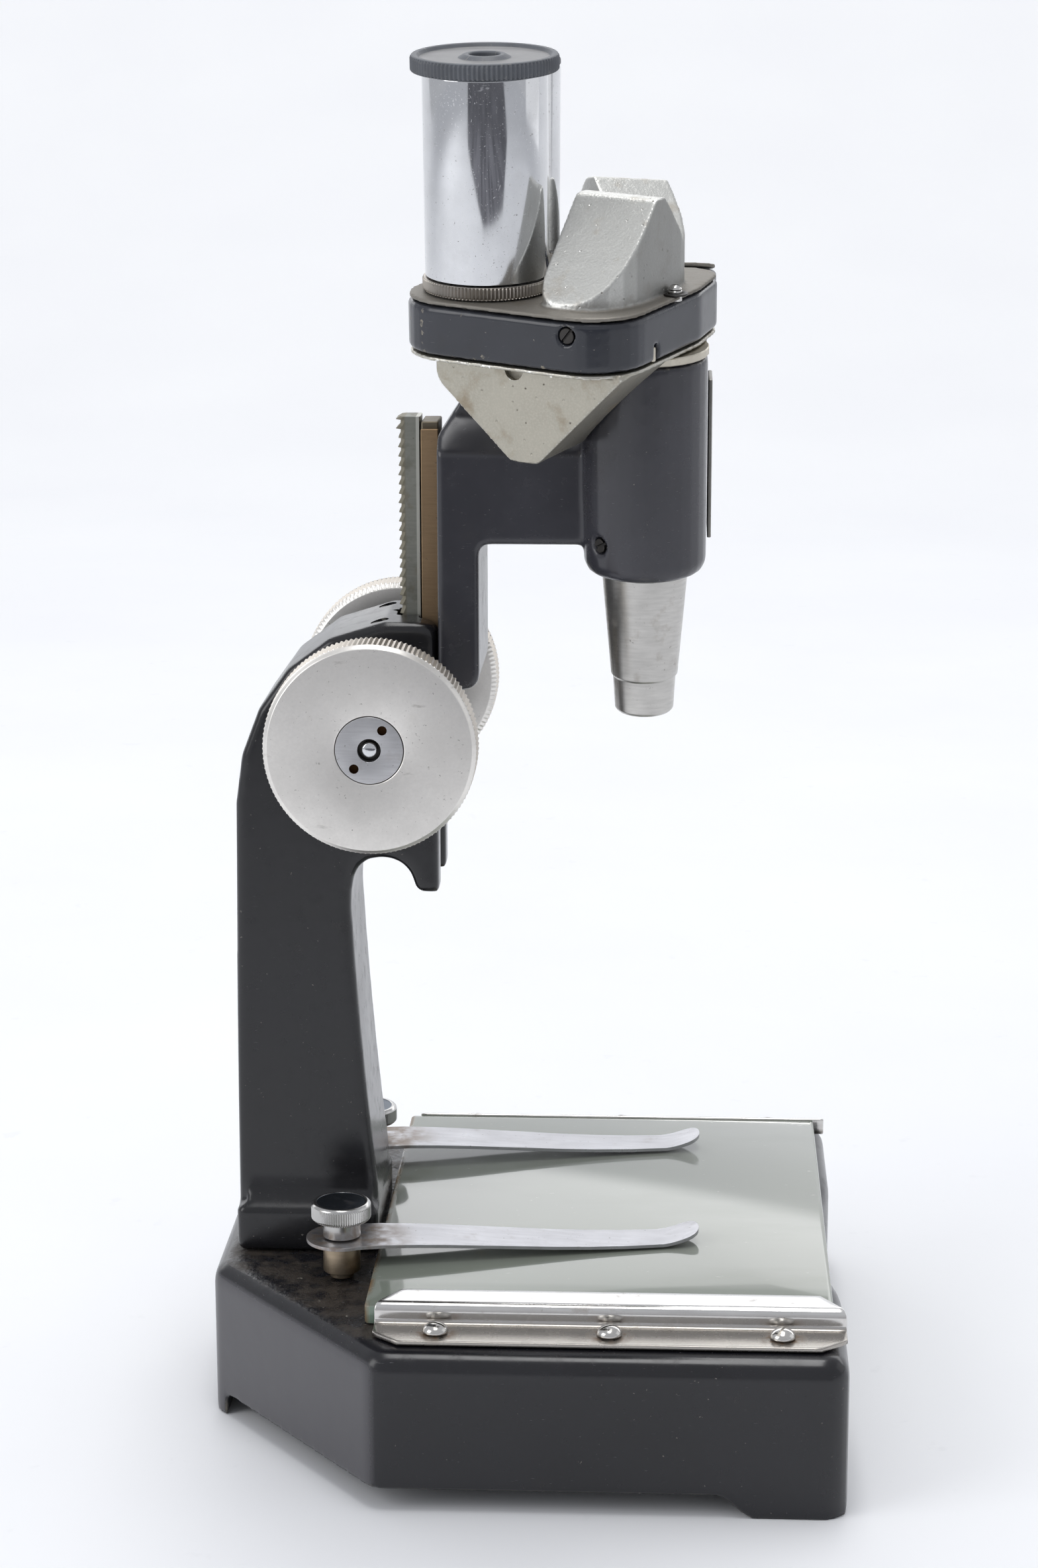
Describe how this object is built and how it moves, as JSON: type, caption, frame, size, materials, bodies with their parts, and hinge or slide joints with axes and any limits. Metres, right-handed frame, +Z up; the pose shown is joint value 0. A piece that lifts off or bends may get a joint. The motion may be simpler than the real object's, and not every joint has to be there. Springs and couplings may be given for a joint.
{
  "type": "binocular dissecting microscope",
  "caption": "Small black enamelled binocular microscope with upright eyepiece tubes, prism heads, rack focusing knobs, glass stage with swinging spring clips and a heavy splayed base.",
  "frame": {"origin": "centre of the underside of the base, on the surface it stands on", "axes": "+X from the pillar towards the free front edge of the stage, +Y across the stage to side b, +Z up along the pillar"},
  "size_m": [0.1296, 0.142, 0.2793],
  "materials": {
    "black_enamel": "satin stove enamel, brown-speckled where worn",
    "cast_silver": "sand-cast and silvered, pitted and worn",
    "aluminium": "turned satin, knurled rim",
    "nickel": "dull nickel plate with light rust",
    "chrome": "bright plate",
    "satin_steel": "brushed, slightly tarnished",
    "worn_brass": "tarnished brown",
    "dark_screw": "blackened",
    "front_plate": "satin, no lettering",
    "stage_glass": "frosted plate glass, faintly green",
    "optical_glass": "polished",
    "cap_plastic": "grey-black moulded, ribbed rim"
  },
  "bodies": {
    "stand": {"base_casting": "black_enamel", "pillar": "black_enamel", "stage_rail_a": "chrome", "stage_rail_b": "chrome", "clip_post_a": "chrome", "clip_post_b": "chrome", "pinion_bush_a": "nickel", "pinion_bush_b": "nickel", "rail_screw_a1": "nickel", "rail_screw_a2": "nickel", "rail_screw_a3": "nickel", "rail_screw_b1": "nickel", "rail_screw_b2": "nickel", "rail_screw_b3": "nickel"},
    "glass": {"stage_glass": "stage_glass"},
    "clip_a": {"stage_clip_a": "satin_steel"},
    "clip_b": {"stage_clip_b": "satin_steel"},
    "thumb_a": {"thumb_screw_a": "chrome"},
    "thumb_b": {"thumb_screw_b": "chrome"},
    "focus_shaft": {"pinion_shaft": "nickel", "focus_knob_a": "aluminium", "focus_knob_b": "aluminium", "knob_disc_a": "nickel", "knob_disc_b": "nickel"},
    "carriage": {"arm_casting": "black_enamel", "rack": "satin_steel", "slide_bar": "satin_steel", "gib_strip": "worn_brass", "arm_front_plate": "front_plate", "objective_cone_a": "satin_steel", "objective_cone_b": "satin_steel", "objective_lens_a": "optical_glass", "objective_lens_b": "optical_glass", "barrel_screw_a": "dark_screw", "barrel_screw_b": "dark_screw"},
    "head_a": {"prism_box_a": "black_enamel", "upper_cover_a": "cast_silver", "lower_cover_a": "cast_silver", "swivel_ring_a": "satin_steel", "upper_prism_a": "optical_glass", "lower_prism_a": "optical_glass", "side_screw_a": "dark_screw", "cover_screw_a": "dark_screw"},
    "tube_a": {"eyepiece_ring_a": "satin_steel", "eyepiece_tube_a": "chrome"},
    "eyepiece_a": {"eyepiece_cap_a": "cap_plastic", "eye_lens_a": "optical_glass"},
    "head_b": {"prism_box_b": "black_enamel", "upper_cover_b": "cast_silver", "lower_cover_b": "cast_silver", "swivel_ring_b": "satin_steel", "upper_prism_b": "optical_glass", "lower_prism_b": "optical_glass", "side_screw_b": "dark_screw", "cover_screw_b": "dark_screw"},
    "tube_b": {"eyepiece_ring_b": "satin_steel", "eyepiece_tube_b": "chrome"},
    "eyepiece_b": {"eyepiece_cap_b": "cap_plastic", "eye_lens_b": "optical_glass"}
  },
  "joints": [
    {"name": "focus_slide", "type": "slide", "parent": "stand", "child": "carriage", "axis": [0, 0, 1], "range_m": [-0.048, 0.004]},
    {"name": "pinion_turn", "type": "hinge", "parent": "stand", "child": "focus_shaft", "pos_m": [-0.0295, 0, 0.1452], "axis": [0, 1, 0], "range_deg": [-70, 835]},
    {"name": "glass_slide", "type": "slide", "parent": "stand", "child": "glass", "axis": [1, 0, 0], "range_m": [0, 0.095]},
    {"name": "swivel_a", "type": "hinge", "parent": "carriage", "child": "head_a", "pos_m": [0.0235, -0.01956, 0.22229], "axis": [0, -0.14, 0.9901], "range_deg": [-5, 10]},
    {"name": "tube_turn_a", "type": "hinge", "parent": "head_a", "child": "tube_a", "pos_m": [-0.0069, -0.02412, 0.22165], "axis": [0, -0.14, 0.9901], "range_deg": [-90, 90]},
    {"name": "eyepiece_slide_a", "type": "slide", "parent": "tube_a", "child": "eyepiece_a", "axis": [0, -0.14, 0.9901], "range_m": [0, 0.026]},
    {"name": "swivel_b", "type": "hinge", "parent": "carriage", "child": "head_b", "pos_m": [0.0235, 0.01956, 0.22229], "axis": [0, -0.14, -0.9901], "range_deg": [-5, 10]},
    {"name": "tube_turn_b", "type": "hinge", "parent": "head_b", "child": "tube_b", "pos_m": [-0.0069, 0.02412, 0.22165], "axis": [0, 0.14, 0.9901], "range_deg": [-90, 90]},
    {"name": "eyepiece_slide_b", "type": "slide", "parent": "tube_b", "child": "eyepiece_b", "axis": [0, 0.14, 0.9901], "range_m": [0, 0.026]},
    {"name": "clip_turn_a", "type": "hinge", "parent": "stand", "child": "clip_a", "pos_m": [-0.0373, -0.0304, 0.0404], "axis": [0, 0, 1], "range_deg": [-20, 15]},
    {"name": "thumb_turn_a", "type": "hinge", "parent": "stand", "child": "thumb_a", "pos_m": [-0.0373, -0.0304, 0.0404], "axis": [0, 0, 1], "continuous": true},
    {"name": "clip_turn_b", "type": "hinge", "parent": "stand", "child": "clip_b", "pos_m": [-0.0373, 0.0304, 0.0404], "axis": [0, 0, 1], "range_deg": [-34, 5]},
    {"name": "thumb_turn_b", "type": "hinge", "parent": "stand", "child": "thumb_b", "pos_m": [-0.0373, 0.0304, 0.0404], "axis": [0, 0, 1], "continuous": true}
  ],
  "couplings": [
    {"joint": "pinion_turn", "follows": "focus_slide", "rad_per_m": -303.03}
  ]
}
